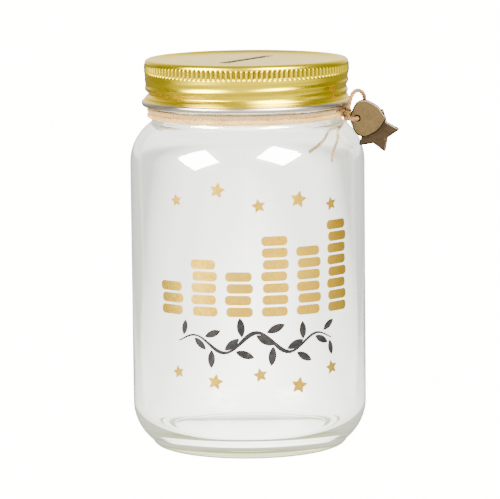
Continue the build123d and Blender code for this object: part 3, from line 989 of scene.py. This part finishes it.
def surround_light():
    """White to the eye, darker to the sides, and in reflections with a glow round each softbox."""
    world = bpy.data.worlds.new("studio")
    bpy.context.scene.world = world
    world.use_nodes = True
    surround = world.node_tree.nodes["Background"]
    direction = add_node(world, "ShaderNodeTexCoord").outputs["Generated"]
    parts = add_node(world, "ShaderNodeSeparateXYZ", {"Vector": direction})
    sides = maths(world, "ABSOLUTE", parts.outputs["X"])
    behind = spread(world, parts.outputs["Y"], -0.2, 0.4, front_light, back_light)
    shade = product(world, spread(world, sides, 0.25, 0.85, 1.0, side_light),
                    spread(world, parts.outputs["Z"], 0.45, 0.85, 1.0, overhead_light))
    mirrored = product(world, behind, shade)
    for heading in softboxes.values():
        toward = add_node(world, "ShaderNodeVectorMath", {
            0: direction, 1: heading}, operation="DOT_PRODUCT").outputs["Value"]
        glow = spread(world, toward, 0.87, 0.975, 0.0, box_glow)
        mirrored = maths(world, "ADD", mirrored, glow)
    plain = spread(world, sides, 0.3, 0.95, around_light, around_side_share * around_light)
    rays = add_node(world, "ShaderNodeLightPath")
    unseen = blend(world, rays.outputs["Is Reflection Ray"], plain, mirrored)
    strength = blend(world, rays.outputs["Is Camera Ray"], unseen, paper_light)
    link(world, strength, surround, "Strength")
    surround.inputs["Color"].default_value = (1, 0.992, 0.965, 1)


def paper_floor():
    """A wide white floor."""
    floor_mesh = bpy.data.meshes.new("floor")
    corners = [(x * floor_reach, y * floor_reach, 0) for x, y in ((-1, -1), (1, -1), (1, 1), (-1, 1))]
    floor_mesh.from_pydata(corners, [], [(0, 1, 2, 3)])
    floor = bpy.data.objects.new("floor", floor_mesh)
    bpy.context.scene.collection.objects.link(floor)
    white, shader = new_material("white_floor", Base_Color=(0.86, 0.86, 0.855, 1), Roughness=0.9)
    link(white, floor_light(white, shader), white.node_tree.nodes["Material Output"], "Surface")
    floor_mesh.materials.append(white)


def softbox_lamps():
    """Each softbox is a lamp for everything, and just behind it a brighter one that only the glass gets."""
    shiny = bpy.data.collections.new("glass_pieces")
    shiny.objects.link(bpy.data.objects["jar_glass"])
    for side, heading in softboxes.items():
        for use, radiance in (("light", box_radiance), ("shine", shine_radiance)):
            light = bpy.data.lights.new(f"softbox_{side}_{use}", "AREA")
            light.shape = "SQUARE"
            light.size = box_size
            light.energy = radiance * math.pi * box_size**2
            lamp = bpy.data.objects.new(light.name, light)
            bpy.context.scene.collection.objects.link(lamp)
            distance = box_distance + (shine_behind if use == "shine" else 0)
            lamp.location = Vector(box_target) + Vector(heading) * distance
            facing = Vector(heading).to_track_quat("Z", "Y").to_matrix()
            lamp.rotation_euler = (facing @ Matrix.Rotation(45 * degree, 3, "Z")).to_euler()
            if use == "shine":
                lamp.visible_diffuse = False
                lamp.light_linking.receiver_collection = shiny


def front_camera():
    """The camera in front of the jar, a little above it and looking slightly down."""
    lens = bpy.data.cameras.new("camera")
    lens.lens = lens_length
    lens.sensor_width = 36.0
    lens.clip_start = 0.05
    camera = bpy.data.objects.new("camera", lens)
    bpy.context.scene.collection.objects.link(camera)
    camera.matrix_world = (Matrix.Translation(camera_place)
                           @ Matrix.Rotation((90 - camera_drop) * degree, 4, "X")
                           @ Matrix.Rotation(camera_roll * degree, 4, "Z"))
    bpy.context.scene.camera = camera


# ---------------------------------------------------------------- the whole object

jar_glass()
surround_light()
paper_floor()
softbox_lamps()
front_camera()
gold_lid()
neck_wraps()
knot = wound_knot("knot", "twine_knot", [around(a, knot_distance, knot_z) for a in (knot_from, knot_to)],
                  2.6, 0.95 * mm, 5, 1.5)
tail_tip = Vector(long_tail_points[-1]) * mm
tail_knot = wound_knot("tail_end_knot", "tail_knot",
                       [tail_tip + Vector((0, 0, 0.5 * mm)), tail_tip - Vector((0, 0, 0.5 * mm))],
                       1.7, 0.68 * mm, 6, 2.5, 0.78)
loop = free_twine("hanging_loop", "charm_loop", loop_points, mm, 21, 2.2, 0)
free_twine("long_twine_tail", "long_tail", long_tail_points, mm, 22, 1.2, 0)
free_twine("short_twine_tail", "short_tail", short_tail_points, mm, 23, 1.2, 26)
# The loop gets the darker copy of the twine's colours: painted shade
loop.data.materials[0] = materials["jute_loop_painted_shade"]
plate_charm("bronze_heart", "heart_charm", "heart", heart_outline(), heart_y, "antique_bronze")
plate_charm("bronze_star", "star_charm", "star", star_outline(), star_y, "dark_bronze")

for node, material in (("sealing_ring", "seal_compound"), ("jump_ring", "dark_bronze"),
                       ("upper_foil_stars", "gold_foil"), ("lower_foil_stars", "gold_foil"),
                       ("foil_coin_piles", "gold_foil"), ("ink_vine", "black_ink")):
    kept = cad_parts[node]
    kept.data.materials.clear()
    kept.data.materials.append(materials[material])
